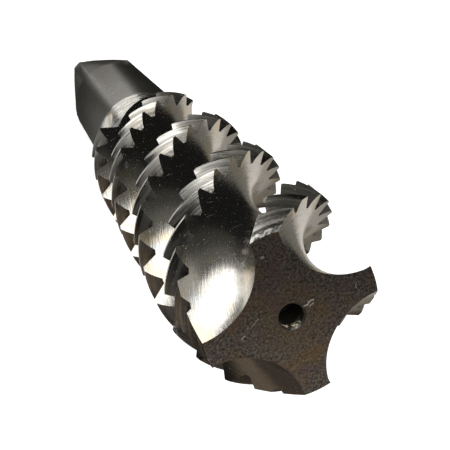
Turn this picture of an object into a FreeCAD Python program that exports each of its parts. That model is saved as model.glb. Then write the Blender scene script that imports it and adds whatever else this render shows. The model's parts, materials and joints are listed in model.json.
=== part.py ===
"""Spiral flute tap, one piece of ground steel, standing on its drive end.

The tap is drawn on its own axis, with the front face at zero and the drive end at the overall length. Its placement
then turns it over, so that the drive end lies in the ground plane and the front face is on top.
"""
import FreeCAD, Part
import os
import Sketcher

Vector = FreeCAD.Vector
ORIGIN_POINT = (-1, 1)

# Driving sizes, in millimetres and degrees
SIZES = {
    "overall_length": 130,
    "major_diameter": 24,
    "thread_pitch": 3,
    "thread_length": 65,
    "thread_phase": 1.84,
    "lead_length": 7.4,
    "lead_diameter": 19.8,
    "shoulder_length": 1.5,
    "flute_count": 4,
    "flute_radius": 8,
    "core_diameter": 11,
    "lip_angle": 31,
    "lip_rake": 22,
    "lip_blend": 2,
    "helix_angle": 45,
    "flute_clocking": 25.84,
    "flute_length": 64,
    "runout_length": 14,
    "shank_diameter": 18,
    "square_across": 14,
    "square_length": 18,
    "end_bevel": 1.5,
    "centre_diameter": 2.8,
    "centre_depth": 7,
    "centre_bevel": 0.2,
    "drive_centre_diameter": 5,
    "drive_centre_depth": 7,
}

# Shares of the pitch in the metric thread form, and the slopes of its flanks and of a drill's point
CREST_SHARE = 0.125
DEPTH_SHARE = 0.6134
FLANK_ANGLE = 30
DRILL_SLOPE = 59

# Length by which a cutter starts before the surface that it opens and reaches beyond it
OVERCUT = 4

# Sections of the flute's way out of the shank, and how far its last one stands clear of the shank
RUNOUT_STEPS = 8
RUNOUT_CLEARANCE = 0.5

doc = FreeCAD.newDocument("spiral_flute_tap")
sheet = doc.addObject("Spreadsheet::Sheet", "sizes")
for row, (alias, number) in enumerate(SIZES.items(), start=1):
    sheet.set(f"A{row}", alias)
    sheet.set(f"B{row}", str(number))
    sheet.setAlias(f"B{row}", alias)
doc.recompute()

# Lengths worked out from the driving sizes, as expressions of the sheet
MAJOR_RADIUS = "sizes.major_diameter / 2"
SHANK_RADIUS = "sizes.shank_diameter / 2"
CORE_RADIUS = "sizes.core_diameter / 2"
FLUTE_OFFSET = f"{CORE_RADIUS} + sizes.flute_radius"
FLUTE_LEAD = "pi * sizes.major_diameter / tan(sizes.helix_angle)"
THREAD_DEPTH = f"{DEPTH_SHARE} * sizes.thread_pitch"
GROOVE_MOUTH = f"(1 - {CREST_SHARE}) * sizes.thread_pitch"
FLANK_SLOPE = f"tan({FLANK_ANGLE})"
THREAD_START = "sizes.thread_phase - 2 * sizes.thread_pitch"

tap = doc.addObject("PartDesign::Body", "tap")
tap.Label = "tap"
tap.Placement = FreeCAD.Placement(Vector(), FreeCAD.Rotation(Vector(1, 0, 0), 180))
tap.setExpression(".Placement.Base.z", "sizes.overall_length")


def value(expression):
    """Returns what an expression of the sheet comes to."""
    return float(sheet.evalExpression(expression.replace("sizes.", "")))


def origin_part(role):
    """Returns the plane or axis of the body's own origin that has this role."""
    return next(part for part in tap.Origin.OriginFeatures if part.Role == role)


def new_sketch(name, role, height="0", turn="0"):
    """Starts a sketch on an origin plane, moved along the plane's normal and turned about it."""
    sketch = tap.newObject("Sketcher::SketchObject", name)
    sketch.AttachmentSupport = [(origin_part(role), "")]
    sketch.MapMode = "FlatFace"
    sketch.AttachmentOffset = FreeCAD.Placement(Vector(), FreeCAD.Rotation(Vector(0, 0, 1), 0))
    sketch.setExpression(".AttachmentOffset.Base.z", height)
    sketch.setExpression(".AttachmentOffset.Rotation.Angle", turn)
    return sketch


def tie(sketch, kind, *references):
    """Adds a constraint whose last argument is an expression, and binds the constraint to it."""
    number = sketch.addConstraint(Sketcher.Constraint(kind, *references[:-1], value(references[-1])))
    sketch.setExpression(f"Constraints[{number}]", references[-1])


def pin(sketch, curve, end, across, along):
    """Holds one point of a curve at a place that is given by two expressions."""
    tie(sketch, "DistanceX", *ORIGIN_POINT, curve, end, across)
    tie(sketch, "DistanceY", *ORIGIN_POINT, curve, end, along)


def draw_outline(sketch, corners):
    """Draws a closed outline through corners that are given by pairs of expressions."""
    points = [Vector(value(across), value(along), 0) for across, along in corners]
    first = sketch.GeometryCount
    for start, stop in zip(points, points[1:] + points[:1]):
        sketch.addGeometry(Part.LineSegment(start, stop), False)
    for index in range(len(points)):
        following = first + (index + 1) % len(points)
        sketch.addConstraint(Sketcher.Constraint("Coincident", first + index, 2, following, 1))
    for index, (across, along) in enumerate(corners):
        pin(sketch, first + index, 1, across, along)


def draw_circle(sketch, across, radius):
    """Draws a circle on the sketch's horizontal axis."""
    curve = sketch.addGeometry(Part.Circle(Vector(value(across), 0, 0), Vector(0, 0, 1), value(radius)), False)
    pin(sketch, curve, 3, across, "0")
    tie(sketch, "Radius", curve, radius)


def turn_round(name, kind, sketch):
    """Turns a sketch fully round the axis of the tap."""
    feature = tap.newObject(kind, name)
    feature.Profile = sketch
    feature.ReferenceAxis = (origin_part("Z_Axis"), [""])
    feature.Angle = 360
    return feature


def cut_helix(name, sketch, pitch, height):
    """Carries a sketch along a right-hand helix about the tap's axis and takes the swept room away.

    The faces are kept as they are cut, because joining neighbouring helical faces can break the solid.
    """
    feature = tap.newObject("PartDesign::SubtractiveHelix", name)
    feature.Profile = sketch
    feature.ReferenceAxis = (origin_part("Z_Axis"), [""])
    feature.Mode = "pitch-height-angle"
    feature.Refine = False
    feature.setExpression("Pitch", pitch)
    feature.setExpression("Height", height)
    return feature


def turned_blank():
    """The turned blank: front face, tapered lead, threaded part, shoulder, shank and bevelled drive end."""
    sketch = new_sketch("blank_outline", "XZ_Plane")
    draw_outline(sketch, [
        ("0", "0"),
        ("sizes.lead_diameter / 2", "0"),
        (MAJOR_RADIUS, "sizes.lead_length"),
        (MAJOR_RADIUS, "sizes.thread_length"),
        (SHANK_RADIUS, "sizes.thread_length + sizes.shoulder_length"),
        (SHANK_RADIUS, "sizes.overall_length - sizes.end_bevel"),
        (f"{SHANK_RADIUS} - sizes.end_bevel", "sizes.overall_length"),
        ("0", "sizes.overall_length"),
    ])
    return turn_round("blank", "PartDesign::Revolution", sketch)


def thread_groove():
    """The groove between the threads, from before the front face to past the shoulder."""
    root = f"{MAJOR_RADIUS} - {THREAD_DEPTH}"
    outer = f"{MAJOR_RADIUS} + {THREAD_DEPTH}"
    root_half = f"({GROOVE_MOUTH} / 2 - {THREAD_DEPTH} * {FLANK_SLOPE})"
    outer_half = f"({GROOVE_MOUTH} / 2 + {THREAD_DEPTH} * {FLANK_SLOPE})"
    sketch = new_sketch("thread_form", "XZ_Plane")
    draw_outline(sketch, [
        (root, f"{THREAD_START} - {root_half}"),
        (outer, f"{THREAD_START} - {outer_half}"),
        (outer, f"{THREAD_START} + {outer_half}"),
        (root, f"{THREAD_START} + {root_half}"),
    ])
    return cut_helix("thread", sketch, "sizes.thread_pitch", "sizes.thread_length + 3 * sizes.thread_pitch")


def flute_plane(name, depth):
    """Starts a sketch of a flute's section at a depth behind the front face, turned as the helix is there."""
    turn = f"sizes.flute_clocking + 360 * ({depth}) / ({FLUTE_LEAD})"
    return new_sketch(name, "XY_Plane", depth, turn)


def lip_point(reach):
    """Returns the point of the straight lip that lies a length outside the cutting edge, as two expressions."""
    slope = "(sizes.lip_angle - sizes.lip_rake)"
    across = f"{MAJOR_RADIUS} * cos(sizes.lip_angle) + {reach} * cos{slope}"
    along = f"{MAJOR_RADIUS} * sin(sizes.lip_angle) + {reach} * sin{slope}"
    return across, along


def draw_hooked_flute(sketch):
    """Draws a flute's section: a round gullet, blended into a straight lip that leans over the gullet."""
    radius = value("sizes.flute_radius")
    blend = value("sizes.lip_blend")
    middle = Vector(value(FLUTE_OFFSET), 0, 0)
    mouth = middle - Vector(0, radius, 0)
    bottom = middle - Vector(radius, 0, 0)
    edge = Vector(*map(value, lip_point(0)), 0)
    outer = Vector(*map(value, lip_point(OVERCUT)), 0)
    outwards = (outer - edge).normalize()
    inside = Vector(outwards.y, -outwards.x, 0)

    # The blend's centre lies one blend radius from the lip, and one less than the gullet's radius from its middle
    offset_edge = edge + inside * blend
    to_middle = middle - offset_edge
    back = ((radius - blend) ** 2 - to_middle.dot(inside) ** 2) ** 0.5
    centre = offset_edge + outwards * (to_middle.dot(outwards) - back)
    touch = middle + (centre - middle).normalize() * radius
    lip_foot = centre - inside * blend
    halfway = centre + (touch + lip_foot - centre * 2).normalize() * blend

    # An arc runs counterclockwise from its first end, whatever the order of its points
    lip = sketch.addGeometry(Part.LineSegment(outer, lip_foot), False)
    corner = sketch.addGeometry(Part.Arc(lip_foot, halfway, touch), False)
    gullet = sketch.addGeometry(Part.Arc(touch, bottom, mouth), False)
    closing = sketch.addGeometry(Part.LineSegment(mouth, outer), False)
    cutting_edge = sketch.addGeometry(Part.Point(edge), True)
    sketch.addConstraint(Sketcher.Constraint("Tangent", lip, 2, corner, 1))
    sketch.addConstraint(Sketcher.Constraint("Tangent", corner, 2, gullet, 1))
    sketch.addConstraint(Sketcher.Constraint("Coincident", gullet, 2, closing, 1))
    sketch.addConstraint(Sketcher.Constraint("Coincident", closing, 2, lip, 1))
    sketch.addConstraint(Sketcher.Constraint("PointOnObject", cutting_edge, 1, lip))
    pin(sketch, gullet, 3, FLUTE_OFFSET, "0")
    tie(sketch, "DistanceX", *ORIGIN_POINT, gullet, 2, FLUTE_OFFSET)
    tie(sketch, "Radius", gullet, "sizes.flute_radius")
    tie(sketch, "Radius", corner, "sizes.lip_blend")
    pin(sketch, cutting_edge, 1, *lip_point(0))
    pin(sketch, lip, 1, *lip_point(OVERCUT))


def flutes():
    """The flutes: a hooked section along the helix, then a round one led outwards until it leaves the shank."""
    section = flute_plane("flute_section", f"-{OVERCUT}")
    draw_hooked_flute(section)
    flute = cut_helix("flute", section, FLUTE_LEAD, f"sizes.flute_length + {OVERCUT}")
    doc.recompute()

    sections = []
    for step in range(RUNOUT_STEPS + 1):
        share = step / RUNOUT_STEPS
        rise = f"{share ** 2} * ({SHANK_RADIUS} - {CORE_RADIUS} + {RUNOUT_CLEARANCE})"
        sketch = flute_plane(f"runout_section_{step}", f"sizes.flute_length + {share} * sizes.runout_length")
        draw_circle(sketch, f"{FLUTE_OFFSET} + {rise}", "sizes.flute_radius")
        sections.append(sketch)
    runout = tap.newObject("PartDesign::SubtractiveLoft", "runout")
    runout.Profile = sections[0]
    runout.Sections = sections[1:]
    doc.recompute()

    pattern = tap.newObject("PartDesign::PolarPattern", "flute_ring")
    pattern.Originals = [flute, runout]
    pattern.Axis = (origin_part("Z_Axis"), [""])
    pattern.Angle = 360
    pattern.setExpression("Occurrences", "sizes.flute_count")
    tap.Tip = pattern
    return pattern


def drive_square():
    """The four flats for the wrench, milled from the drive end."""
    half = "sizes.square_across / 2"
    sketch = new_sketch("square_section", "XY_Plane", "sizes.overall_length")
    draw_circle(sketch, "0", f"{SHANK_RADIUS} + {OVERCUT}")
    draw_outline(sketch, [(f"-{half}", f"-{half}"), (half, f"-{half}"), (half, half), (f"-{half}", half)])
    pocket = tap.newObject("PartDesign::Pocket", "square")
    pocket.Profile = sketch
    pocket.setExpression("Length", "sizes.square_length")
    return pocket


def centre_hole(name, end, inwards, diameter, depth):
    """A drilled centre hole with a small bevel at its mouth and the point of the drill at its bottom."""
    sketch = new_sketch(f"{name}_outline", "XZ_Plane")
    radius = f"{diameter} / 2"
    draw_outline(sketch, [
        ("0", end),
        (f"{radius} + sizes.centre_bevel", end),
        (radius, f"{end} + {inwards} * sizes.centre_bevel"),
        (radius, f"{end} + {inwards} * {depth}"),
        ("0", f"{end} + {inwards} * ({depth} + {radius} / tan({DRILL_SLOPE}))"),
    ])
    return turn_round(name, "PartDesign::Groove", sketch)


turned_blank()
doc.recompute()
thread_groove()
doc.recompute()
flutes()
doc.recompute()
drive_square()
doc.recompute()
centre_hole("front_centre", "0", 1, "sizes.centre_diameter", "sizes.centre_depth")
doc.recompute()
centre_hole("drive_centre", "sizes.overall_length", -1, "sizes.drive_centre_diameter", "sizes.drive_centre_depth")
doc.recompute()

for thing in doc.Objects:
    if {"Invalid", "Error"} & set(thing.State):
        raise RuntimeError(f"{thing.Label} failed")
if tap.Shape.isNull() or not tap.Shape.isValid() or len(tap.Shape.Solids) != 1:
    raise RuntimeError("the tap is not one valid solid")

os.makedirs("parts", exist_ok=True)
tap.Shape.exportStep(os.path.join("parts", f"{tap.Label}.step"))
print("volume", round(tap.Shape.Volume), "mm3, box", tap.Shape.optimalBoundingBox(False))
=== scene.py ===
"""Spiral flute tap standing on its drive end: the ground steel surfaces, the floor, the lamps and the camera."""
import json
import math

import bmesh
import bpy
from bpy.props import FloatProperty, FloatVectorProperty, PointerProperty
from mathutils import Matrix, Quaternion, Vector


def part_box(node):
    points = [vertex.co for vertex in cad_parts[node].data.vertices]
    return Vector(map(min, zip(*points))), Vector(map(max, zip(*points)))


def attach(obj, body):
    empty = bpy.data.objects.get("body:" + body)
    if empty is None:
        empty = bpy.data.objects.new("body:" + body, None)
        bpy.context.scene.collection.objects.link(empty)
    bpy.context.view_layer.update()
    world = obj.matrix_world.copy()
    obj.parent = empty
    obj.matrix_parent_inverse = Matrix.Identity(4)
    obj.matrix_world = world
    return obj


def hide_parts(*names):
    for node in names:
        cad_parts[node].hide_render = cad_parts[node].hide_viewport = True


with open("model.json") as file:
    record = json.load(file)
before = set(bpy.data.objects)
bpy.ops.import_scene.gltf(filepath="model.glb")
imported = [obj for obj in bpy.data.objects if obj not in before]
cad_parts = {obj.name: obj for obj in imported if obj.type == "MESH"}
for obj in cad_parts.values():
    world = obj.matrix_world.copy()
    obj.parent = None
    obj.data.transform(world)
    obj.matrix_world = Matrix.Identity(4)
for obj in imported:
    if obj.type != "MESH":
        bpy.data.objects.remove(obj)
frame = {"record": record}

bl_info = {
    "name": "Spiral Flute Tap",
    "version": (1, 0, 0),
    "blender": (4, 5, 0),
    "location": "View3D > Sidebar > Tap",
    "description": "Builds a ground spiral flute tap and the studio around it",
    "category": "Add Mesh",
}

NODE = "tap"
BODY = "root"

# The solid's own box and the mounts of its record give the sizes that both models share
SOLID_LOW, SOLID_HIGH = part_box(NODE)
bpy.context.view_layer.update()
MOUNTS = {mount["name"]: mount for mount in frame["record"]["mounts"]}

# Metric thread form, as shares of the pitch, and the slope of a drill's point
CREST_SHARE = 0.125
DEPTH_SHARE = 0.6134
FLANK_SLOPE = math.tan(math.radians(30))
DRILL_SLOPE = math.tan(math.radians(59))

FLUTES = 4
QUARTER = math.tau / FLUTES

# Rounds and first guesses of the searches for the edges between threads and flutes
HALVINGS = 34
LONGEST_WALL = 1.5
CREST_ROUNDS = 10
EDGE_ROUNDS = 8
EDGE_GUESS = math.radians(9)


class TapSizes(bpy.types.PropertyGroup):
    """Sizes of the tap that its box and mounts don't give."""

    pitch: FloatProperty(
        name="Pitch", description="Distance between two turns of the thread", default=0.003, unit="LENGTH",
    )
    thread_phase: FloatProperty(
        name="Thread phase", description="Depth of the first groove on the +X side", default=0.00184, unit="LENGTH",
    )
    thread_length: FloatProperty(
        name="Thread length", description="Length of the threaded part", default=0.065, unit="LENGTH",
    )
    shoulder: FloatProperty(
        name="Shoulder", description="Length of the cone from the thread down to the shank",
        default=0.0015, unit="LENGTH",
    )
    lead_length: FloatProperty(
        name="Lead length", description="Length of the tapered lead", default=0.0074, unit="LENGTH",
    )
    lead_radius: FloatProperty(
        name="Lead radius", description="Radius of the front face", default=0.0099, unit="LENGTH",
    )
    helix: FloatProperty(
        name="Helix angle", description="Angle between a flute and the axis at the crests",
        default=math.radians(45), subtype="ANGLE", unit="ROTATION",
    )
    clocking: FloatProperty(
        name="Clocking", description="Angle of the first flute at the front face",
        default=math.radians(64.16), subtype="ANGLE", unit="ROTATION",
    )
    core: FloatProperty(
        name="Core radius", description="Radius of the steel left under the flutes", default=0.0055, unit="LENGTH",
    )
    gullet: FloatProperty(
        name="Gullet radius", description="Radius of a flute's round bottom", default=0.008, unit="LENGTH",
    )
    lip_angle: FloatProperty(
        name="Lip angle", description="Angle from a flute's middle to its cutting edge",
        default=math.radians(31), subtype="ANGLE", unit="ROTATION",
    )
    lip_rake: FloatProperty(
        name="Lip rake", description="Lean of the cutting face over the flute",
        default=math.radians(22), subtype="ANGLE", unit="ROTATION",
    )
    lip_blend: FloatProperty(
        name="Lip blend", description="Radius between gullet and cutting face", default=0.002, unit="LENGTH",
    )
    flute_length: FloatProperty(
        name="Flute length", description="Depth at which the flutes begin to rise", default=0.064, unit="LENGTH",
    )
    runout: FloatProperty(
        name="Run-out", description="Length over which the flutes leave the shank", default=0.014, unit="LENGTH",
    )
    runout_rise: FloatProperty(
        name="Run-out rise", description="Rise of the flutes over the run-out", default=0.004, unit="LENGTH",
    )
    half_square: FloatProperty(
        name="Half square", description="Half the drive square's width across flats", default=0.007, unit="LENGTH",
    )
    square_length: FloatProperty(
        name="Square length", description="Length of the drive square", default=0.018, unit="LENGTH",
    )
    end_bevel: FloatProperty(name="End bevel", description="Bevel at the drive end", default=0.0015, unit="LENGTH")
    hole_depth: FloatProperty(
        name="Centre depth", description="Depth of the centre holes", default=0.007, unit="LENGTH",
    )
    hole_bevel: FloatProperty(
        name="Centre bevel", description="Bevel at the mouth of the centre holes", default=0.0002, unit="LENGTH",
    )
    # The bright line along an edge stands for wear and for a painted highlight
    edge_width: FloatProperty(
        name="Edge width", description="Width of the bright worn line along an edge", default=0.00007, unit="LENGTH",
    )


class TapColours(bpy.types.PropertyGroup):
    """Colours of the tap's finishes."""

    polished: FloatVectorProperty(
        name="Polished steel", description="Steel in the ground flutes", subtype="COLOR", default=(0.58, 0.56, 0.53),
    )
    straw: FloatVectorProperty(
        name="Straw tint", description="Tint that the heat of grinding left in the flutes", subtype="COLOR",
        default=(0.60, 0.49, 0.33),
    )
    land: FloatVectorProperty(
        name="Thread steel", description="Steel of the threads", subtype="COLOR", default=(0.62, 0.60, 0.565),
    )
    grime: FloatVectorProperty(
        name="Grime", description="Old oil in the roots of the thread and in the centre holes", subtype="COLOR",
        default=(0.014, 0.012, 0.009),
    )
    # The front face's colour at its +Y side, where its painted shade is darkest; towards -Y the face is painted lighter
    face: FloatVectorProperty(
        name="Front face", description="Dull oxide on the front face", subtype="COLOR", default=(0.015, 0.011, 0.008),
    )
    stain: FloatVectorProperty(
        name="Golden stain", description="Golden brown stain on the front face", subtype="COLOR",
        default=(0.135, 0.074, 0.018),
    )
    tarnish: FloatVectorProperty(
        name="Purple tarnish", description="Purple brown tarnish on the front face", subtype="COLOR",
        default=(0.090, 0.045, 0.055),
    )
    shank: FloatVectorProperty(
        name="Shank", description="Dark oxide on the shank", subtype="COLOR", default=(0.062, 0.059, 0.048),
    )
    dust: FloatVectorProperty(
        name="Dust", description="Pale specks on the ground steel", subtype="COLOR", default=(0.55, 0.54, 0.50),
    )


class StageSettings(bpy.types.PropertyGroup):
    """Floor, lamps and camera."""

    floor: FloatVectorProperty(
        name="Floor colour", description="Colour of the floor", subtype="COLOR", default=(0.9, 0.9, 0.9),
    )
    sky: FloatProperty(name="Sky", description="Strength of the even light from all round", default=0.42)
    window: FloatProperty(
        name="Window lamp", description="Power of the tall lamp at the back", default=0.30, unit="POWER",
    )
    ceiling: FloatProperty(name="Ceiling lamp", description="Power of the wide lamp above", default=0.9, unit="POWER")
    camera_at: FloatVectorProperty(
        name="Camera place", description="Where the camera stands", subtype="TRANSLATION", unit="LENGTH",
        default=(-0.02967, 0.03989, 0.20723),
    )
    camera_turn: FloatVectorProperty(
        name="Camera turn", description="Turn of the camera from straight down", subtype="EULER", unit="ROTATION",
        default=(math.radians(-19.796), math.radians(-16.135), 0.0),
    )
    lens: FloatProperty(name="Lens", description="Focal length on a sensor 36 mm wide", default=69.34, unit="CAMERA")


class TapForm:
    """The tap's surface, worked out from its sizes. Depths run down from the front face."""

    def __init__(self, sizes):
        for name in sizes.__annotations__:
            setattr(self, name, getattr(sizes, name))
        self.length = SOLID_HIGH[2] - SOLID_LOW[2]
        self.top = SOLID_HIGH[2]
        self.major = SOLID_HIGH[0]
        self.shank = MOUNTS["shank"]["dims"]["r_mm"] / 1000
        self.root = self.major - DEPTH_SHARE * self.pitch
        self.lead = math.tau * self.major / math.tan(self.helix)
        self.crest_half = CREST_SHARE * self.pitch / 2
        self.root_half = self.pitch / 2 - self.crest_half - (self.major - self.root) * FLANK_SLOPE
        self.groove_turn = self.thread_phase / self.pitch
        self.rows_per_metre = 1 / self.pitch - 1 / self.lead
        self.land_middle = self.clocking + QUARTER / 2
        self.flute_end = self.flute_length + self.runout
        self.offset = self.core + self.gullet
        self.shape_lip()

    def shape_lip(self):
        """Finds where the gullet passes into the blend and the blend into the straight cutting face."""
        slope = self.lip_angle - self.lip_rake
        edge = Vector((math.cos(self.lip_angle), math.sin(self.lip_angle))) * self.major
        self.lip_along = Vector((math.cos(slope), math.sin(slope)))
        inside = Vector((self.lip_along.y, -self.lip_along.x))
        middle = Vector((self.offset, 0))
        start = edge + inside * self.lip_blend
        reach = middle - start
        back = math.sqrt((self.gullet - self.lip_blend) ** 2 - reach.dot(inside) ** 2)
        self.blend_centre = start + self.lip_along * (reach.dot(self.lip_along) - back)
        touch = middle + (self.blend_centre - middle).normalized() * self.gullet
        self.lip_foot = self.blend_centre - inside * self.lip_blend
        self.touch_turn = math.atan2(touch.y, middle.x - touch.x)
        self.blend_start = math.atan2(touch.y - self.blend_centre.y, touch.x - self.blend_centre.x)
        foot_turn = math.atan2(self.lip_foot.y - self.blend_centre.y, self.lip_foot.x - self.blend_centre.x)
        self.blend_turn = self.blend_start - foot_turn
        self.gullet_end = self.gullet * self.touch_turn
        self.blend_end = self.gullet_end + self.lip_blend * self.blend_turn

    def wall(self, along, rise):
        """Point of a flute's section, by its distance along the wall from the bottom: + to the lip, - to the heel."""
        if along <= self.gullet_end:
            turn = along / self.gullet
            return self.offset + rise - self.gullet * math.cos(turn), self.gullet * math.sin(turn)
        if along <= self.blend_end:
            turn = self.blend_start - (along - self.gullet_end) / self.lip_blend
            centre = self.blend_centre
            return centre.x + rise + self.lip_blend * math.cos(turn), centre.y + self.lip_blend * math.sin(turn)
        point = self.lip_foot + self.lip_along * (along - self.blend_end)
        return point.x + rise, point.y

    def wall_end(self, side, radius, rise):
        """Distance along the wall at which a flute's section reaches a radius."""
        low, high = 0.0, self.gullet * LONGEST_WALL
        if self.core + rise >= radius:
            return 0.0
        for _ in range(HALVINGS):
            middle = (low + high) / 2
            if math.hypot(*self.wall(side * middle, rise)) < radius:
                low = middle
            else:
                high = middle
        return high

    def rise(self, depth):
        """How far a flute has risen off the core at a depth."""
        share = min(max((depth - self.flute_length) / self.runout, 0), 1)
        return share ** 2 * self.runout_rise

    def blank(self, depth):
        """Radius of the turned blank at a depth."""
        if depth < self.lead_length:
            return self.lead_radius + (self.major - self.lead_radius) * depth / self.lead_length
        if depth < self.thread_length:
            return self.major
        share = min((depth - self.thread_length) / self.shoulder, 1)
        return self.major + (self.shank - self.major) * share

    def groove(self, turns):
        """Radius of the thread's form at a number of turns from the middle of a groove."""
        off = abs(turns - round(turns)) * self.pitch
        return self.root + max(off - self.root_half, 0) / FLANK_SLOPE

    def radius(self, depth, angle):
        """Radius of a land's surface."""
        turns = depth / self.pitch + angle / math.tau - self.groove_turn
        return min(self.blank(depth), self.groove(turns))

    def depth_of(self, turns, angle):
        """Depth at which a place on a land, given by its angle at the front, has gone a number of turns."""
        return (turns + self.groove_turn - angle / math.tau) / self.rows_per_metre

    def row_turns(self, row, angle):
        """Turns of one row of a land: the rows lie on the corners of the thread's form and between them."""
        number, kind = divmod(row, len(THREAD_ROWS))
        name, share, side = THREAD_ROWS[kind]
        if name == "middle":
            return number + share
        corner = self.root_half
        if name != "root":
            full = self.pitch / 2 - self.crest_half
            crest = full
            for _ in range(CREST_ROUNDS):
                turns = number + (crest if side > 0 else self.pitch - crest) / self.pitch
                blank = self.blank(self.depth_of(turns, angle))
                wanted = self.root_half + max(blank - self.root, 0) * FLANK_SLOPE
                crest = (crest + min(max(wanted, self.root_half), full)) / 2
            corner += (crest - corner) * share
        return number + (corner if side > 0 else self.pitch - corner) / self.pitch


# Rows over one pitch of the thread, from the middle of a groove: name, share of the flank and side of the crest
THREAD_ROWS = [
    ("middle", 0.0, 1),
    ("root", 0.0, 1),
    ("flank", 0.35, 1),
    ("flank", 0.7, 1),
    ("flank", 1.0, 1),
    ("middle", 0.5, 1),
    ("flank", 1.0, -1),
    ("flank", 0.7, -1),
    ("flank", 0.35, -1),
    ("root", 0.0, -1),
]

# Columns across a land and round a flute, with a fine one beside each edge that is a share of these widths
LAND_COLUMNS = 12
LAND_WIDTH = 0.004
WALL_COLUMNS = 40
WALL_WIDTH = 0.012
FACE_RINGS = (0.0, 0.012, 0.12, 0.3, 0.5, 0.7, 0.88, 0.97, 1.0)
END_RINGS = (0.0, 0.3, 0.7, 1.0)
SHANK_STEPS = 10
BEVEL_STEPS = 6
CORNER_POINTS = 3

# Cards that only the steel reflects, each with its name, its shade and its rows. All directions are in degrees.
# Upright cards stand round the tap; their rows give the height and the first and last direction
CARD_RADIUS = 0.065
UPRIGHT_CARDS = (
    ("window_card", (2.4, 2.38, 2.3), (
        (0.075, 116, 149), (0.09, 104, 141), (0.105, 94, 139), (0.12, 88, 134), (0.15, 88, 122), (0.19, 90, 112),
    )),
    ("sill_card", (1.15, 1.14, 1.08), ((0.02, 138, 174), (0.045, 133, 168), (0.06, 126, 158), (0.075, 116, 149))),
    ("foot_card", (0.75, 0.74, 0.7), ((0.0, 140, 180), (0.02, 138, 180))),
    ("dark_card", (0.012, 0.012, 0.012), (
        (0.0, 2, 140), (0.02, 2, 138), (0.045, 2, 133), (0.06, 2, 126), (0.075, 2, 70), (0.09, 2, 58),
        (0.105, 2, 48), (0.12, 2, 42), (0.15, 2, 40),
    )),
    ("dusk_card", (0.06, 0.06, 0.052), (
        (0.06, 126, 126), (0.075, 70, 94), (0.09, 58, 78), (0.105, 48, 68), (0.12, 42, 62), (0.15, 40, 58),
    )),
    ("dawn_card", (0.15, 0.15, 0.13), (
        (0.06, 126, 126), (0.075, 94, 116), (0.09, 78, 104), (0.105, 68, 94), (0.12, 62, 88), (0.13, 60, 88),
    )),
    ("gleam_card", (0.6, 0.58, 0.52), ((0.13, 60, 88), (0.15, 58, 88))),
    ("brow_card", (0.1, 0.1, 0.09), ((0.15, 2, 88), (0.22, 2, 88))),
    ("fading_card", (0.22, 0.21, 0.18), ((0.0, -14, 2), (0.128, -14, 2))),
    ("pale_card", (0.78, 0.74, 0.68), ((0.0, -28, -14), (0.1, -28, -14))),
    ("warm_card", (0.4, 0.375, 0.335), ((0.0, -48, -28), (0.1, -48, -28))),
    ("upper_warm_card", (0.26, 0.25, 0.23), ((0.1, -48, -14), (0.135, -48, -14))),
    ("brown_card", (0.23, 0.21, 0.17), ((0.0, -68, -48), (0.13, -68, -48))),
    ("dim_card", (0.07, 0.055, 0.045), ((0.012, -138, -68), (0.15, -138, -68))),
    ("amber_card", (0.17, 0.135, 0.1), ((0.012, -164, -138), (0.19, -164, -138))),
    ("left_card", (0.03, 0.025, 0.02), ((0.012, -180, -164), (0.21, -180, -164))),
    ("side_card", (0.32, 0.32, 0.3), (
        (0.02, 174, 180), (0.045, 168, 180), (0.06, 158, 180), (0.075, 149, 180), (0.105, 139, 180),
        (0.12, 134, 180),
    )),
    ("high_card", (0.015, 0.015, 0.015), ((0.12, 134, 185), (0.15, 122, 185), (0.19, 112, 185), (0.28, 112, 185))),
)
# The even sky behind and above them has rows that begin with the radius
SKY_CARD = ("sky_card", (0.42, 0.42, 0.42), (
    (0.076, 0.1, -180, 180), (0.076, 0.32, -180, 180), (0.001, 0.33, -180, 180),
))
# The floor lies just under the tap, and these cards between them; their rows give the radius and the directions
FLOOR_REACH = 3
FLOOR_LIFT = -0.0001
CARD_LIFT = -0.00005
FLOOR_CARDS = (
    ("foot_ground", (0.1, 0.1, 0.09), ((0.003, 0, 360), (0.0095, 0, 360))),
    ("black_ground", (0.03, 0.03, 0.03), ((0.0095, 0, 80), (0.022, 0, 82), (0.065, 0, 86))),
    ("pale_ground", (0.58, 0.57, 0.54), ((0.0095, 80, 128), (0.022, 82, 126))),
    ("bright_ground", (1.9, 1.88, 1.8), ((0.022, 86, 138), (0.035, 86, 140), (0.065, 86, 122))),
    ("grey_ground", (0.08, 0.08, 0.07), ((0.0095, 128, 150), (0.035, 140, 150), (0.065, 122, 145))),
    ("dim_ground", (0.06, 0.06, 0.055), ((0.0095, 150, 262), (0.03, 150, 262))),
    ("left_ground", (0.75, 0.72, 0.66), ((0.03, 190, 262), (0.04, 180, 262), (0.065, 150, 262))),
    ("warm_ground", (0.26, 0.24, 0.2), ((0.0095, -98, 0), (0.065, -98, 0))),
)
CARD_STEPS = 12

FINISHES = ("lands", "flutes", "front_face", "shank", "bore")

# Grime fills the thread's roots inside these radii and above these heights
GRIME_RADII = (0.0101, 0.0112)
GRIME_HEIGHTS = (0.0635, 0.0650)
# Painted shade darkens the front face between these places along Y; the face is golden inside these radii
PAINTED_FACE_SHADE = (-0.008, 0.007)
GOLDEN_RING = (0.0022, 0.0065)
# The painted glint in the front hole, a bright golden patch drawn as chipped steel, begins this far below its mouth,
# and on this side
GLINT_BELOW = (0.0011, 0.0005)
GLINT_SIDE = (-0.0007, -0.0011)


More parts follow.
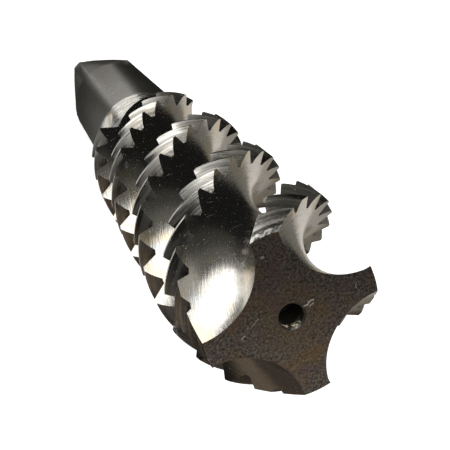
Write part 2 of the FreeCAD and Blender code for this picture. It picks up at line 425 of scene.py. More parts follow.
class Skin:
    """Collects the grids of one closed surface, with a place on it and a mark for edges painted bright, as wear and as
    painted highlight.
    """

    def __init__(self):
        self.mesh = bmesh.new()
        self.place = self.mesh.loops.layers.uv.new("surface")
        self.worn = self.mesh.verts.layers.float.new("worn")

    def grid(self, rows, finish):
        """Adds a grid; each point is (position, (across, along), wear and highlight mark)."""
        material = FINISHES.index(finish)
        made = []
        for row in rows:
            line = []
            for position, place, worn in row:
                vertex = self.mesh.verts.new(position)
                vertex[self.worn] = worn
                line.append((vertex, place))
            made.append(line)
        for upper, lower in zip(made, made[1:]):
            for column in range(len(upper) - 1):
                corners = [upper[column], lower[column], lower[column + 1], upper[column + 1]]
                face = self.mesh.faces.new([vertex for vertex, _ in corners])
                face.material_index = material
                face.smooth = True
                for loop, (_, place) in zip(face.loops, corners):
                    loop[self.place].uv = place

    def finish(self, name, sharp):
        """Joins and closes the grids, faces them outwards, marks the sharp edges and returns the object."""
        bmesh.ops.remove_doubles(self.mesh, verts=self.mesh.verts, dist=1e-6)
        bmesh.ops.dissolve_degenerate(self.mesh, edges=self.mesh.edges, dist=1e-7)
        seams = [edge for edge in self.mesh.edges if edge.is_boundary]
        closed = bmesh.ops.holes_fill(self.mesh, edges=seams, sides=0)["faces"]
        bmesh.ops.triangulate(self.mesh, faces=closed)
        bmesh.ops.recalc_face_normals(self.mesh, faces=self.mesh.faces)
        for edge in self.mesh.edges:
            edge.smooth = len(edge.link_faces) == 2 and edge.calc_face_angle(0) < sharp
        return placed(name, self.mesh)


def placed(name, mesh):
    """Puts a finished mesh in the scene as an object."""
    data = bpy.data.meshes.new(name)
    mesh.to_mesh(data)
    mesh.free()
    piece = bpy.data.objects.new(name, data)
    bpy.context.collection.objects.link(piece)
    return piece


def shares(count, fine):
    """Even shares from 0 to 1, with a narrow step at both ends."""
    inner = [fine + (1 - 2 * fine) * step / (count - 2) for step in range(count - 1)]
    return [0.0, *inner, 1.0]


def polar(form, radius, angle, depth):
    """A point at a radius, an angle and a depth below the front face."""
    return Vector((radius * math.cos(angle), radius * math.sin(angle), form.top - depth))


def land_edge(form, land, row, side):
    """Depth, angle across the land and radius where a row meets the lip (+) or the heel (-)."""
    middle = form.land_middle + land * QUARTER
    across = side * EDGE_GUESS
    for _ in range(EDGE_ROUNDS):
        depth = form.depth_of(form.row_turns(row, middle + across), middle + across)
        depth = min(max(depth, 0), form.flute_end)
        angle = middle + across - math.tau * depth / form.lead
        radius = form.radius(depth, angle)
        rise = form.rise(depth)
        along = form.wall_end(side, radius, rise)
        x, y = form.wall(side * along, rise)
        across = side * (QUARTER / 2 - math.atan2(abs(y), x))
    return depth, across, along


def land_rows(form):
    """First and last row that every land needs, so that all rows beyond them lie on its ends."""
    spread = FLUTES + 1
    first = math.floor(-form.groove_turn) - 2
    last = math.ceil(form.flute_end * form.rows_per_metre + form.land_middle / math.tau + spread / FLUTES) + 1
    return range(first * len(THREAD_ROWS), last * len(THREAD_ROWS))


def build_lands(form, skin, edges, columns):
    """The threads on the lands, row by row along the thread."""
    for land in range(FLUTES):
        middle = form.land_middle + land * QUARTER
        grid = []
        for row in land_rows(form):
            heel, lip = edges[land, row, -1], edges[land, row, 1]
            line = []
            for share in columns:
                across = heel[1] + (lip[1] - heel[1]) * share
                turns = form.row_turns(row, middle + across)
                depth = min(max(form.depth_of(turns, middle + across), 0), form.flute_end)
                angle = middle + across - math.tau * depth / form.lead
                radius = form.radius(depth, angle)
                kind = THREAD_ROWS[row % len(THREAD_ROWS)]
                crest = kind[0] == "flank" and kind[1] == 1.0 and depth < form.thread_length
                # Edges and crests take the mark that paints them bright, as wear and as painted highlight
                worn = 1.0 if share in (0.0, 1.0) or crest else 0.0
                line.append((polar(form, radius, angle, depth), (depth, angle * form.major), worn))
            grid.append(line)
        skin.grid(grid, "lands")


def build_walls(form, skin, edges, columns):
    """The flutes' walls, each from one land's lip round the gullet to the next land's heel."""
    for land in range(FLUTES):
        flute = form.land_middle + QUARTER / 2 + land * QUARTER
        grid = []
        for row in land_rows(form):
            lip, heel = edges[land, row, 1], edges[land + 1, row, -1]
            line = []
            for share in columns:
                along = lip[2] - (lip[2] + heel[2]) * share
                depth = lip[0] + (heel[0] - lip[0]) * share
                x, y = form.wall(along, form.rise(depth))
                angle = flute - math.tau * depth / form.lead - math.atan2(y, x)
                worn = 1.0 if share in (0.0, 1.0) else 0.0
                line.append((polar(form, math.hypot(x, y), angle, depth), (along, depth), worn))
            grid.append(line)
        skin.grid(grid, "flutes")


def front_outline(form, edges, land_columns, wall_columns):
    """Points of the front face's outline, counterclockwise, as pairs of radius and angle."""
    row = land_rows(form)[0]
    outline = []
    for land in range(FLUTES):
        middle = form.land_middle + land * QUARTER
        heel, lip = edges[land, row, -1], edges[land, row, 1]
        for share in land_columns[:-1]:
            angle = middle + heel[1] + (lip[1] - heel[1]) * share
            outline.append((form.radius(0, angle), angle))
        heel = edges[land + 1, row, -1]
        for share in wall_columns[:-1]:
            x, y = form.wall(lip[2] - (lip[2] + heel[2]) * share, 0)
            outline.append((math.hypot(x, y), middle + QUARTER / 2 - math.atan2(y, x)))
    return outline + [(outline[0][0], outline[0][1] + math.tau)]


def drill_hole(form, skin, angles, mouth, radius, inwards):
    """A centre hole with its bright bevel, its wall and the point of the drill."""
    bottom = form.hole_depth + radius / DRILL_SLOPE
    rings = (
        (radius + form.hole_bevel, 0.0),
        (radius, form.hole_bevel),
        (radius, form.hole_depth / 2),
        (radius, form.hole_depth),
        (0.0, bottom),
    )
    rows = [
        [(polar(form, ring, angle, mouth + inwards * depth), (depth, angle * radius), 0.0) for angle in angles]
        for ring, depth in rings
    ]
    skin.grid(rows[:2], "lands")
    skin.grid(rows[1:], "bore")


def build_front(form, skin, edges, land_columns, wall_columns):
    """The front face, from its outline in to the centre hole, and the hole itself."""
    outline = front_outline(form, edges, land_columns, wall_columns)
    radius = MOUNTS["front_centre"]["dims"]["r_mm"] / 1000
    mouth = radius + form.hole_bevel
    grid = []
    for ring in FACE_RINGS:
        line = []
        for edge, angle in outline:
            position = polar(form, edge + (mouth - edge) * ring, angle, 0)
            line.append((position, (position.x, position.y), 1.0 if ring == 0 else 0.0))
        grid.append(line)
    skin.grid(grid, "front_face")
    drill_hole(form, skin, [angle for _, angle in outline], 0, radius, 1)


def square_angles(form, count):
    """Angles of the points round the shank, a few on each round corner of the square and the rest on its flats."""
    corner = math.acos(form.half_square / form.shank)
    flats = count - CORNER_POINTS
    angles = []
    for quarter in range(FLUTES):
        middle = quarter * math.pi / 2
        angles += [middle - corner + 2 * corner * step / flats for step in range(flats)]
        angles += [middle + corner + (math.pi / 2 - 2 * corner) * step / CORNER_POINTS for step in range(CORNER_POINTS)]
    return angles


def square_radius(form, angle):
    """Radius of the drive square, whose corners are those of the round shank."""
    flat = form.half_square / max(abs(math.cos(angle)), abs(math.sin(angle)))
    return min(form.shank, flat)


def build_shank(form, skin, edges, columns):
    """The plain shank, the drive square and the end that the tap stands on."""
    row = land_rows(form)[-1]
    ring = []
    for land in range(FLUTES):
        middle = form.land_middle + land * QUARTER - math.tau * form.flute_end / form.lead
        heel, lip = edges[land, row, -1], edges[land, row, 1]
        ring += [middle + heel[1] + (lip[1] - heel[1]) * share for share in columns[:-1]]
    targets = square_angles(form, len(columns) - 1)
    count = len(ring)
    shift = min(range(count), key=lambda step: abs(math.remainder(ring[0] - targets[step], math.tau)))
    whole = ring[0] - math.remainder(ring[0] - targets[shift], math.tau)
    offsets = [targets[(shift + step) % count] - targets[shift] for step in range(count)]
    angles = [whole + offset % math.tau for offset in offsets]
    ring.append(ring[0] + math.tau)
    angles.append(angles[0] + math.tau)

    square_top = form.length - form.square_length
    first = form.flute_end + form.pitch
    depths = [first + (square_top - first) * step / SHANK_STEPS for step in range(SHANK_STEPS + 1)]
    rows = [[(angle, form.shank, form.flute_end, 0.0) for angle in ring]]
    rows += [[(angle, form.shank, depth, float(depth == square_top)) for angle in angles] for depth in depths]
    rows.append([(angle, square_radius(form, angle), square_top, 0.0) for angle in angles])
    bevel_top = form.length - form.end_bevel
    for step in range(BEVEL_STEPS + 1):
        depth = bevel_top + form.end_bevel * step / BEVEL_STEPS
        cone = form.shank - (depth - bevel_top)
        rows.append([(angle, min(square_radius(form, angle), cone), depth, 0.0) for angle in angles])
    grid = [
        [(polar(form, radius, angle, depth), (depth, angle * form.shank), worn) for angle, radius, depth, worn in line]
        for line in rows
    ]
    skin.grid(grid, "shank")

    radius = MOUNTS["drive_centre"]["dims"]["r_mm"] / 1000
    mouth = radius + form.hole_bevel
    grid = []
    for inner in END_RINGS:
        line = []
        for angle, edge, depth, _ in rows[-1]:
            position = polar(form, edge + (mouth - edge) * inner, angle, depth)
            line.append((position, (position.x, position.y), 0.0))
        grid.append(line)
    skin.grid(grid, "shank")
    drill_hole(form, skin, angles, form.length, radius, -1)


class Tree:
    """Adds nodes to a shader tree and feeds their sockets with other sockets or plain values."""

    def __init__(self, tree):
        self.tree = tree

    def add(self, kind, inputs, **settings):
        """Adds a node. The inputs are given by name or number."""
        node = self.tree.nodes.new(kind)
        for name, setting in settings.items():
            setattr(node, name, setting)
        for name, source in inputs.items():
            if isinstance(source, bpy.types.NodeSocket):
                self.tree.links.new(source, node.inputs[name])
            else:
                node.inputs[name].default_value = source
        return node

    def number(self, operation, first, second):
        """Works out one number from two."""
        return self.add("ShaderNodeMath", {0: first, 1: second}, operation=operation).outputs[0]

    def times(self, first, second):
        """One number times another."""
        return self.number("MULTIPLY", first, second)

    def plus(self, first, second):
        """One number plus another."""
        return self.number("ADD", first, second)

    def minus(self, first, second):
        """One number less another."""
        return self.number("SUBTRACT", first, second)

    def larger(self, first, second):
        """The larger of two numbers."""
        return self.number("MAXIMUM", first, second)

    def vector(self, operation, *given, result="Vector"):
        """Works out a vector, or a value where that is asked for, from other vectors."""
        return self.add("ShaderNodeVectorMath", dict(enumerate(given)), operation=operation).outputs[result]

    def turned(self, place, angle):
        """Turns a place about the upright axis."""
        return self.add("ShaderNodeVectorRotate", {0: place, "Angle": angle}, rotation_type="Z_AXIS").outputs[0]

    def split(self, place):
        """The three numbers of a place."""
        return self.add("ShaderNodeSeparateXYZ", {0: place}).outputs

    def band(self, source, low, high):
        """A soft step from 0 at one value of the source to 1 at the other."""
        limits = {"Value": source, "From Min": low, "From Max": high}
        return self.add("ShaderNodeMapRange", limits, interpolation_type="SMOOTHSTEP").outputs["Result"]

    def span(self, source, low, high):
        """Spreads a source of 0 to 1 between two values."""
        return self.add("ShaderNodeMapRange", {"Value": source, "To Min": low, "To Max": high}).outputs["Result"]

    def blend(self, share, first, second):
        """Mixes two colours."""
        return self.add("ShaderNodeMix", {0: share, 6: first, 7: second}, data_type="RGBA").outputs[2]

    def noise(self, place, scale, detail=3.0):
        """A noise of 0 to 1 over the surface."""
        return self.add("ShaderNodeTexNoise", {"Vector": place, "Scale": scale, "Detail": detail}).outputs["Fac"]


def effect(name, build, inputs, outputs):
    """Builds a shader node group once, from the names of its inputs and outputs."""
    group = bpy.data.node_groups.new(name, "ShaderNodeTree")
    for label in ("Place", *inputs):
        kind = "NodeSocketVector" if label in VECTOR_INPUTS else "NodeSocketFloat"
        group.interface.new_socket(label, in_out="INPUT", socket_type=kind)
    for label in outputs:
        group.interface.new_socket(label, in_out="OUTPUT", socket_type="NodeSocketFloat")
    tree = Tree(group)
    results = build(tree, group.nodes.new("NodeGroupInput").outputs)
    tree.add("NodeGroupOutput", dict(zip(outputs, results)))
    return group


def grinding_lines(tree, given):
    """Fine lines along the second coordinate of the surface, with broader bands among them."""
    parts = tree.split(given["Place"])
    heights = []
    for finer in (1.0, 0.22):
        across = tree.times(tree.times(parts[0], given["Across"]), finer)
        along = tree.times(parts[1], given["Along"])
        place = tree.add("ShaderNodeCombineXYZ", {0: across, 1: along}).outputs[0]
        heights.append(tree.noise(place, 1.0, 2.0))
    return [tree.band(heights[0], 0.3, 0.7), tree.band(heights[1], 0.35, 0.65)]


def cloudy_stains(tree, given):
    """Soft patches, with a finer mottle."""
    broad = tree.noise(given["Place"], given["Scale"], 4.0)
    fine = tree.noise(given["Place"], tree.times(given["Scale"], 9.0), 3.0)
    low = tree.minus(0.62, tree.times(given["Amount"], 0.25))
    patches = tree.band(broad, low, tree.plus(low, 0.16))
    return [patches, tree.band(fine, 0.36, 0.66)]


def pale_specks(tree, given):
    """Small specks of uneven size, and short straight scratches aslant."""
    grains = tree.noise(given["Place"], given["Scale"], 1.0)
    low = tree.minus(0.80, tree.times(given["Amount"], 0.3))
    speck = tree.band(grains, low, tree.plus(low, 0.04))
    turned = tree.turned(given["Place"], 0.7)
    narrow = tree.vector("MULTIPLY", turned, (1.0, 0.07, 1.0))
    streaks = tree.noise(narrow, given["Scale"], 1.0)
    return [speck, tree.band(streaks, tree.plus(low, 0.01), tree.plus(low, 0.05))]


def single_scratch(tree, given):
    """One wavy scratch between two points of a flat face."""
    wave = tree.add("ShaderNodeTexNoise", {"Vector": given["Place"], "Scale": 1600.0, "Detail": 1.0}).outputs["Color"]
    shift = tree.vector("SUBTRACT", wave, (0.5, 0.5, 0.5))
    bent = tree.vector("MULTIPLY_ADD", shift, (0.0007, 0.0007, 0.0), given["Place"])
    reach = tree.vector("SUBTRACT", bent, given["Start"])
    whole = tree.vector("SUBTRACT", given["End"], given["Start"])
    dots = [tree.vector("DOT_PRODUCT", first, whole, result="Value") for first in (reach, whole)]
    share = tree.add("ShaderNodeMath", {0: dots[0], 1: dots[1]}, operation="DIVIDE", use_clamp=True).outputs[0]
    nearest = tree.add("ShaderNodeVectorMath", {0: whole, "Scale": share}, operation="SCALE").outputs[0]
    gap = tree.vector("DISTANCE", reach, nearest, result="Value")
    return [tree.minus(1.0, tree.band(gap, tree.times(given["Width"], 0.35), given["Width"]))]


def worn_and_highlit_edges(tree, given):
    """A bright broken line along an edge, from the mark on the surface: wear, and a painted highlight where a rounded
    edge would catch light.
    """
    worn = tree.add("ShaderNodeAttribute", {}, attribute_name="worn").outputs["Fac"]
    broken = tree.span(tree.noise(given["Place"], given["Scale"], 2.0), 0.55, 1.2)
    return [tree.band(tree.times(worn, broken), 0.35, 0.8)]


# Each effect's builder, its inputs beside the place, and its outputs, which are all plain numbers
EFFECTS = {
    "grinding lines": (grinding_lines, ("Across", "Along"), ("Lines", "Bands")),
    "cloudy stains": (cloudy_stains, ("Scale", "Amount"), ("Patches", "Mottle")),
    "pale specks": (pale_specks, ("Scale", "Amount"), ("Specks", "Scratches")),
    "single scratch": (single_scratch, ("Start", "End", "Width"), ("Scratch",)),
    "worn edges": (worn_and_highlit_edges, ("Scale",), ("Edge",)),
}
VECTOR_INPUTS = ("Place", "Start", "End")

# Single marks on the front face: start, end, width and colour
FACE_MARKS = (
    ((0.00125, 0.00085), (0.00185, 0.00125), 0.00013, (0.42, 0.4, 0.34)),
    ((0.00185, 0.00125), (0.00225, 0.00165), 0.00013, (0.42, 0.4, 0.34)),
    ((0.0019, 0.00085), (0.00235, 0.0012), 0.0001, (0.36, 0.34, 0.29)),
    ((-0.0045, -0.0006), (-0.0037, 0.0002), 0.00008, (0.2, 0.18, 0.15)),
    ((-0.0055, -0.0018), (-0.0051, -0.0016), 0.00014, (0.34, 0.27, 0.22)),
    ((-0.0036, 0.007), (-0.0032, 0.0071), 0.00016, (0.34, 0.27, 0.2)),
    ((0.0072, 0.0029), (0.0073, 0.0025), 0.00008, (0.3, 0.27, 0.22)),
    ((0.00078, 0.0039), (0.00092, 0.0039), 0.00028, (0.03, 0.004, 0.006)),
    ((-0.0008, -0.0035), (-0.0004, -0.0058), 0.00007, (0.09, 0.08, 0.07)),
)


def opaque(colour):
    """A colour with full alpha."""
    return (*colour, 1.0)


def plain(name, **settings):
    """A material and its shader, whose sockets are given with low lines for spaces."""
    material = bpy.data.materials.new(name)
    material.use_nodes = True
    shader = material.node_tree.nodes["Principled BSDF"]
    for label, setting in settings.items():
        shader.inputs[label.replace("_", " ")].default_value = setting
    return material, shader


class Steel:
    """One steel finish, laid up from the shared effects."""

    def __init__(self, name, groups):
        self.material, self.shader = plain(name)
        self.tree = Tree(self.material.node_tree)
        self.groups = groups
        self.room = self.tree.add("ShaderNodeTexCoord", {}).outputs["Object"]
        self.surface = self.tree.add("ShaderNodeUVMap", {}, uv_map="surface").outputs["UV"]

    def effect(self, name, place, **values):
        """Places one of the shared effects."""
        return self.tree.add("ShaderNodeGroup", {"Place": place, **values}, node_tree=self.groups[name]).outputs

    def close(self, **sources):
        """Feeds the shader's sockets, named as in plain(), and returns the material."""
        for name, source in sources.items():
            socket = self.shader.inputs[name.replace("_", " ")]
            if isinstance(source, bpy.types.NodeSocket):
                self.tree.tree.links.new(source, socket)
            else:
                socket.default_value = source
        return self.material

    def bump(self, height, depth, strength):
        """A bump of a depth in metres."""
        return self.tree.add("ShaderNodeBump", {"Height": height, "Distance": depth, "Strength": strength}).outputs[0]


def polished_flutes(groups, colours):
    """Bright ground steel with lines along the flute, straw and blue tints, stains and pale specks."""
    steel = Steel("polished flutes", groups)
    tree = steel.tree
    lines, bands = steel.effect("grinding lines", steel.surface, Across=14000.0, Along=260.0)
    patches, mottle = steel.effect("cloudy stains", steel.room, Scale=300.0, Amount=0.5)
    moved = tree.vector("ADD", steel.room, (0.013, 0.027, 0.041))
    cool = steel.effect("cloudy stains", moved, Scale=350.0, Amount=0.25)[0]
    specks, scratches = steel.effect("pale specks", steel.surface, Scale=5200.0, Amount=0.30)
    edge = steel.effect("worn edges", steel.room, Scale=2500.0)[0]
    pale = tree.larger(specks, tree.times(scratches, 0.3))
    colour = tree.blend(tree.span(bands, 0.0, 0.22), opaque(colours.polished), (0.42, 0.41, 0.39, 1))
    colour = tree.blend(tree.span(mottle, 0.0, 0.3), colour, (0.40, 0.38, 0.34, 1))
    colour = tree.blend(tree.times(patches, 0.6), colour, opaque(colours.straw))
    colour = tree.blend(tree.times(cool, 0.4), colour, (0.47, 0.53, 0.60, 1))
    colour = tree.blend(tree.times(pale, 0.4), colour, opaque(colours.dust))
    rough = tree.plus(tree.span(lines, 0.12, 0.20), tree.span(mottle, 0.0, 0.05))
    rough = tree.plus(rough, tree.times(pale, 0.3))
    return steel.close(
        Base_Color=colour,
        Metallic=tree.span(pale, 1.0, 0.75),
        Roughness=tree.plus(rough, tree.times(edge, 0.05)),
        Normal=steel.bump(tree.plus(lines, bands), 0.000006, 0.5),
    )


def threaded_lands(groups, colours):
    """Ground threads: lines round the tap, grime in the roots, and crests and edges painted brighter as wear and as
    painted highlight.
    """
    steel = Steel("threaded lands", groups)
    tree = steel.tree
    lines, bands = steel.effect("grinding lines", steel.surface, Across=9000.0, Along=160.0)
    patches, mottle = steel.effect("cloudy stains", steel.room, Scale=330.0, Amount=0.5)
    specks, scratches = steel.effect("pale specks", steel.surface, Scale=4400.0, Amount=0.30)
    edge = steel.effect("worn edges", steel.room, Scale=2500.0)[0]
    parts = tree.split(steel.room)
    squares = tree.plus(tree.number("POWER", parts[0], 2.0), tree.number("POWER", parts[1], 2.0))
    root = tree.minus(1.0, tree.band(squares, *(radius ** 2 for radius in GRIME_RADII)))
    root = tree.times(root, tree.band(parts[2], *GRIME_HEIGHTS))
    dirt = tree.times(root, tree.span(mottle, 0.3, 0.85))
    colour = tree.blend(tree.span(lines, 0.0, 0.55), opaque(colours.land), (0.15, 0.145, 0.135, 1))
    colour = tree.blend(tree.span(bands, 0.0, 0.4), colour, (0.10, 0.097, 0.09, 1))
    colour = tree.blend(tree.times(patches, 0.5), colour, (0.28, 0.24, 0.19, 1))
    colour = tree.blend(dirt, colour, opaque(colours.grime))
    # Wear and painted highlight: edges and crests painted bright
    colour = tree.blend(tree.times(edge, 0.7), colour, (0.62, 0.61, 0.58, 1))
    rough = tree.plus(tree.span(bands, 0.15, 0.42), tree.times(dirt, 0.25))
    pale = tree.larger(specks, tree.times(scratches, 0.3))
    return steel.close(
        Base_Color=tree.blend(tree.times(pale, 0.5), colour, opaque(colours.dust)),
        Metallic=tree.span(pale, 1.0, 0.7),
        Roughness=rough,
        Normal=steel.bump(tree.plus(lines, tree.times(bands, 3.0)), 0.000008, 0.5),
    )


def stained_face(groups, colours):
    """The dull front face: dark oxide with golden and purple stains, fine scratches, pale specks and small pits, with
    painted shade that darkens it towards +Y.
    """
    steel = Steel("stained face", groups)
    tree = steel.tree
    golden, mottle = steel.effect("cloudy stains", steel.room, Scale=230.0, Amount=0.55)
    moved = tree.vector("ADD", steel.room, (0.031, 0.017, 0.005))
    purple, grain = steel.effect("cloudy stains", moved, Scale=430.0, Amount=0.5)
    specks, scratches = steel.effect("pale specks", steel.room, Scale=5000.0, Amount=0.44)
    pits = steel.effect("pale specks", moved, Scale=1500.0, Amount=0.18)[0]
    turned = tree.turned(steel.surface, 0.9)
    lines = steel.effect("grinding lines", turned, Across=7500.0, Along=900.0)[0]
    edge = steel.effect("worn edges", steel.room, Scale=3000.0)[0]
    fine = tree.band(tree.noise(steel.room, 3400.0, 3.0), 0.36, 0.64)
    parts = tree.split(steel.room)
    # Painted shade: the face is painted from a lighter colour at -Y to the face colour at +Y
    painted_face_shade = tree.band(parts[1], *PAINTED_FACE_SHADE)
    colour = tree.blend(painted_face_shade, (0.060, 0.049, 0.038, 1), opaque(colours.face))
    colour = tree.blend(tree.span(grain, 0.0, 0.85), colour, (0.008, 0.006, 0.005, 1))
    colour = tree.blend(tree.span(fine, 0.0, 0.75), colour, (0.150, 0.125, 0.098, 1))
    near = tree.vector("LENGTH", steel.surface, result="Value")
    ringed = tree.times(tree.minus(1.0, tree.band(near, *GOLDEN_RING)), tree.span(mottle, 0.2, 1.0))
    golden = tree.larger(golden, ringed)
    colour = tree.blend(tree.times(golden, 0.5), colour, opaque(colours.stain))
    colour = tree.blend(tree.times(purple, 0.4), colour, opaque(colours.tarnish))
    colour = tree.blend(tree.times(lines, 0.35), colour, (0.020, 0.017, 0.014, 1))
    colour = tree.blend(tree.times(specks, 0.6), colour, (0.30, 0.26, 0.21, 1))
    colour = tree.blend(tree.times(scratches, 0.3), colour, (0.22, 0.20, 0.17, 1))
    flat = tree.vector("MULTIPLY", steel.room, (1.0, 1.0, 0.0))
    for start, end, width, mark in FACE_MARKS:
        scratch = steel.effect("single scratch", flat, Start=(*start, 0.0), End=(*end, 0.0), Width=width)[0]
        colour = tree.blend(scratch, colour, opaque(mark))
    colour = tree.blend(pits, colour, (0.012, 0.008, 0.008, 1))
    # More painted shade, darkening the face's +Y side further
    colour = tree.blend(tree.times(painted_face_shade, 0.6), colour, (0.007, 0.005, 0.004, 1))
    # Wear and painted highlight: a bright rim painted along the face's edges
    colour = tree.blend(tree.times(edge, 0.8), colour, (0.34, 0.31, 0.26, 1))
    relief = tree.minus(tree.plus(grain, lines), tree.times(pits, 3.0))
    return steel.close(
        Base_Color=colour,
        Metallic=0.35,
        Specular_IOR_Level=0.3,
        Roughness=tree.span(mottle, 0.42, 0.62),
        Normal=steel.bump(relief, 0.00001, 0.6),
    )


def dark_shank(groups, colours):
    """The plain shank, left with its dark oxide: turned lines, a brown cast in patches and a few scratches."""
    steel = Steel("dark shank", groups)
    tree = steel.tree
    lines, bands = steel.effect("grinding lines", steel.surface, Across=5000.0, Along=90.0)
    patches, mottle = steel.effect("cloudy stains", steel.room, Scale=150.0, Amount=0.7)
    scratches = steel.effect("pale specks", steel.surface, Scale=1500.0, Amount=0.20)[1]
    colour = tree.blend(tree.times(patches, 0.6), opaque(colours.shank), (0.062, 0.046, 0.027, 1))
    colour = tree.blend(tree.span(lines, 0.0, 0.25), colour, (0.036, 0.034, 0.029, 1))
    colour = tree.blend(tree.times(scratches, 0.4), colour, (0.3, 0.29, 0.26, 1))
    return steel.close(
        Base_Color=colour,
        Metallic=0.85,
        Roughness=tree.plus(tree.span(mottle, 0.32, 0.38), tree.times(lines, 0.04)),
        Normal=steel.bump(tree.plus(lines, bands), 0.000008, 0.4),
    )


def oily_bore(groups, colours):
    """The centre holes: black with old oil, a few bare lines from the drill and a painted glint at the front hole's
    mouth, drawn as golden chips.
    """
    steel = Steel("oily bore", groups)
    tree = steel.tree
    lines, bands = steel.effect("grinding lines", steel.surface, Across=6000.0, Along=300.0)
    colour = tree.blend(tree.band(bands, 0.8, 1.0), opaque(colours.grime), (0.06, 0.055, 0.045, 1))
    parts = tree.split(steel.room)
    # Painted glint: bright golden specks painted on the lower side of the front hole's mouth
    mouth = tree.band(parts[2], *(SOLID_HIGH[2] - below for below in GLINT_BELOW))
    glint_area = tree.times(mouth, tree.band(parts[1], *GLINT_SIDE))
    painted_glint = tree.times(glint_area, tree.band(tree.noise(steel.room, 3000.0), 0.44, 0.54))
    return steel.close(
        Base_Color=tree.blend(painted_glint, colour, (0.85, 0.74, 0.50, 1)),
        Metallic=0.3,
        Roughness=tree.minus(tree.span(lines, 0.55, 0.8), tree.times(painted_glint, 0.25)),
    )


class BuildTap(bpy.types.Operator):
    """Builds the tap's closed surface with its finishes"""

    bl_idname = "tap.build_tap"
    bl_label = "Tap"

    def execute(self, context):
        form = TapForm(context.scene.tap_sizes)
        colours = context.scene.tap_colours
        skin = Skin()
        rows = land_rows(form)
        edges = {
            (land, row, side): land_edge(form, land, row, side)
            for land in range(FLUTES + 1) for row in rows for side in (-1, 1)
        }
        land_columns = shares(LAND_COLUMNS, form.edge_width / LAND_WIDTH)
        wall_columns = shares(WALL_COLUMNS, form.edge_width / WALL_WIDTH)
        build_lands(form, skin, edges, land_columns)
        build_walls(form, skin, edges, wall_columns)
        build_front(form, skin, edges, land_columns, wall_columns)
        build_shank(form, skin, edges, land_columns)
        piece = skin.finish("ground_tap", math.radians(30))
        groups = {name: effect(name, *given) for name, given in EFFECTS.items()}
        for finish in (threaded_lands, polished_flutes, stained_face, dark_shank, oily_bore):
            piece.data.materials.append(finish(groups, colours))
        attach(piece, BODY)
        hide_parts(NODE)
        return {"FINISHED"}


def shown(tree):
    """1 where the camera, a reflection or a view through glass sees the surface, and 0 where it only lights."""
    path = tree.add("ShaderNodeLightPath", {}).outputs
    seen = tree.larger(path["Is Camera Ray"], path["Is Glossy Ray"])
    return tree.larger(seen, path["Is Transmission Ray"])


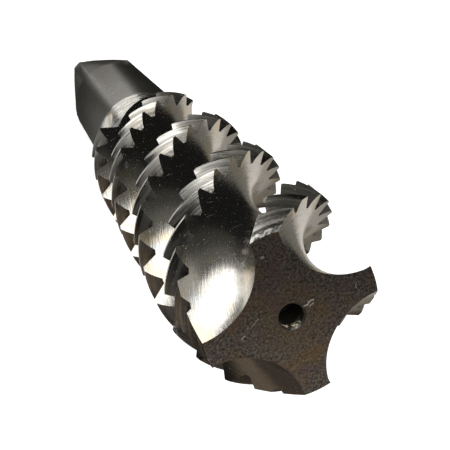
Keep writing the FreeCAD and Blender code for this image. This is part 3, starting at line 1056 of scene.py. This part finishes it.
class BuildStage(bpy.types.Operator):
    """Lays the floor, hangs the lamps and sets up the camera"""

    bl_idname = "tap.build_stage"
    bl_label = "Stage"

    def execute(self, context):
        scene = context.scene
        stage = scene.tap_stage
        scene.view_settings.view_transform = "Standard"

        mesh = bmesh.new()
        bmesh.ops.create_grid(mesh, x_segments=1, y_segments=1, size=FLOOR_REACH)
        floor = placed("floor", mesh)
        floor.location.z = FLOOR_LIFT
        floor.data.materials.append(self.floor_material(stage))

        world = bpy.data.worlds.new("studio")
        scene.world = world
        world.use_nodes = True
        sky = Tree(world.node_tree)
        background = world.node_tree.nodes["Background"]
        background.inputs["Color"].default_value = (1, 1, 1, 1)
        world.node_tree.links.new(sky.span(shown(sky), stage.sky, 1.0), background.inputs["Strength"])

        self.lamp("window_lamp", (-0.045, 0.20, 0.11), (0.115, 0.42), stage.window, roll=math.radians(-28))
        self.lamp("ceiling_lamp", (-0.02, 0.16, 0.42), (0.22, 0.22), stage.ceiling)
        for name, shade, rows in UPRIGHT_CARDS:
            self.card(name, shade, [(CARD_RADIUS, *row) for row in rows])
        self.card(*SKY_CARD)
        for name, shade, rows in FLOOR_CARDS:
            self.card(name, shade, [(radius, CARD_LIFT, *sweep) for radius, *sweep in rows])

        lens = bpy.data.cameras.new("camera")
        lens.lens = stage.lens
        lens.clip_start = 0.001
        camera = bpy.data.objects.new("camera", lens)
        camera.location = stage.camera_at
        camera.rotation_euler = stage.camera_turn
        context.collection.objects.link(camera)
        scene.camera = camera
        return {"FINISHED"}

    def floor_material(self, stage):
        """A pale matt floor that the camera and reflections see as white."""
        white = opaque((1, 1, 1))
        material, shader = plain("floor", Base_Color=opaque(stage.floor), Roughness=0.9, Emission_Color=white)
        ground = Tree(material.node_tree)
        material.node_tree.links.new(ground.times(shown(ground), 0.6), shader.inputs["Emission Strength"])
        return material

    def lamp(self, name, place, size, power, roll=0.0):
        """A large soft lamp aimed at the tap's front end."""
        data = bpy.data.lights.new(name, "AREA")
        data.shape = "RECTANGLE"
        data.size, data.size_y = size
        data.energy = power
        lamp = bpy.data.objects.new(name, data)
        lamp.location = place
        aim = Vector((0, 0, 0.1)) - Vector(place)
        lamp.visible_glossy = False
        lamp.rotation_euler = (aim.to_track_quat("-Z", "Y") @ Quaternion((0, 0, 1), roll)).to_euler()
        bpy.context.collection.objects.link(lamp)

    def card(self, name, shade, rows):
        """A curved card that only the steel's reflections see, upright or flat on the floor."""
        mesh = bmesh.new()
        levels = []
        for radius, height, start, stop in rows:
            angles = [math.radians(start + (stop - start) * step / CARD_STEPS) for step in range(CARD_STEPS + 1)]
            levels.append([mesh.verts.new((radius * math.cos(a), radius * math.sin(a), height)) for a in angles])
        for low, high in zip(levels, levels[1:]):
            for step in range(CARD_STEPS):
                mesh.faces.new([low[step], low[step + 1], high[step + 1], high[step]])
        card = placed(name, mesh)
        glow = {"Emission_Color": opaque(shade), "Emission_Strength": 1.0}
        material, _ = plain(name, Base_Color=opaque((0, 0, 0)), Roughness=1.0, Specular_IOR_Level=0.0, **glow)
        card.data.materials.append(material)
        card.visible_camera = False
        card.visible_diffuse = False
        card.visible_shadow = False


class TapPanel(bpy.types.Panel):
    """Lists the builders of the tap and their settings"""

    bl_idname = "VIEW3D_PT_spiral_flute_tap"
    bl_label = "Spiral Flute Tap"
    bl_space_type = "VIEW_3D"
    bl_region_type = "UI"
    bl_category = "Tap"

    def draw(self, context):
        layout = self.layout
        for group in (context.scene.tap_sizes, context.scene.tap_colours, context.scene.tap_stage):
            for name in group.__annotations__:
                layout.prop(group, name)
        for operator in BUILDERS:
            layout.operator(operator.bl_idname)


BUILDERS = (BuildTap, BuildStage)
GROUPS = {"tap_sizes": TapSizes, "tap_colours": TapColours, "tap_stage": StageSettings}
CLASSES = (*GROUPS.values(), *BUILDERS, TapPanel)


def register():
    for cls in CLASSES:
        bpy.utils.register_class(cls)
    for name, group in GROUPS.items():
        setattr(bpy.types.Scene, name, PointerProperty(type=group))


def unregister():
    for name in GROUPS:
        delattr(bpy.types.Scene, name)
    for cls in reversed(CLASSES):
        bpy.utils.unregister_class(cls)


def main():
    """Builds everything."""
    register()
    bpy.ops.tap.build_tap()
    bpy.ops.tap.build_stage()


if __name__ == "__main__":
    main()
